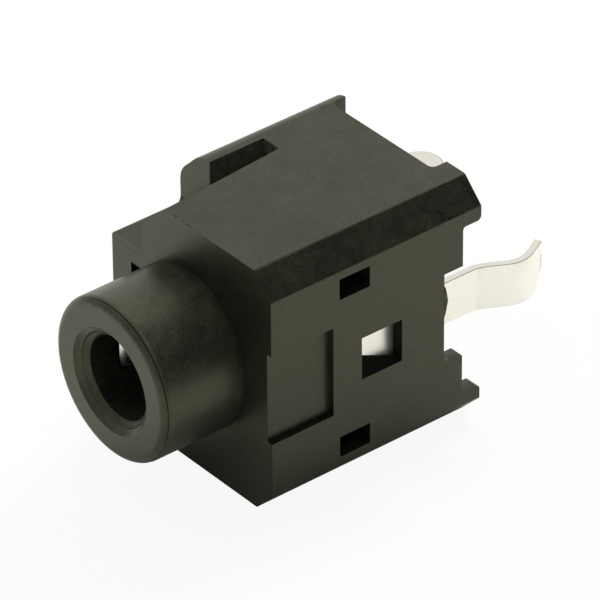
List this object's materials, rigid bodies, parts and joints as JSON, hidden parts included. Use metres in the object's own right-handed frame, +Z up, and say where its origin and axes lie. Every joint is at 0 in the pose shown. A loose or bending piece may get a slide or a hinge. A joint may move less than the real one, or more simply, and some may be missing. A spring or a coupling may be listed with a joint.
{
  "type": "stereo jack socket",
  "caption": "Upright board socket for a 3.5 mm stereo plug: moulded body with a round nose, a cut-away corner and spring contacts.",
  "frame": {"origin": "on the bore's axis, in the plane of the body's front face, where the nose begins", "axes": "+Y along the plug from the nose to the circuit board, +X across the body to the side with the windows, +Z up as the socket lies in the picture"},
  "size_m": [0.0106, 0.0181, 0.0112],
  "materials": {
    "body_plastic": "black, fine satin",
    "contact_metal": "tin plated, bright"
  },
  "bodies": {
    "root": {"housing": "body_plastic", "sleeve_contact": "contact_metal", "ring_contact": "contact_metal", "tip_contact": "contact_metal"}
  },
  "joints": []
}
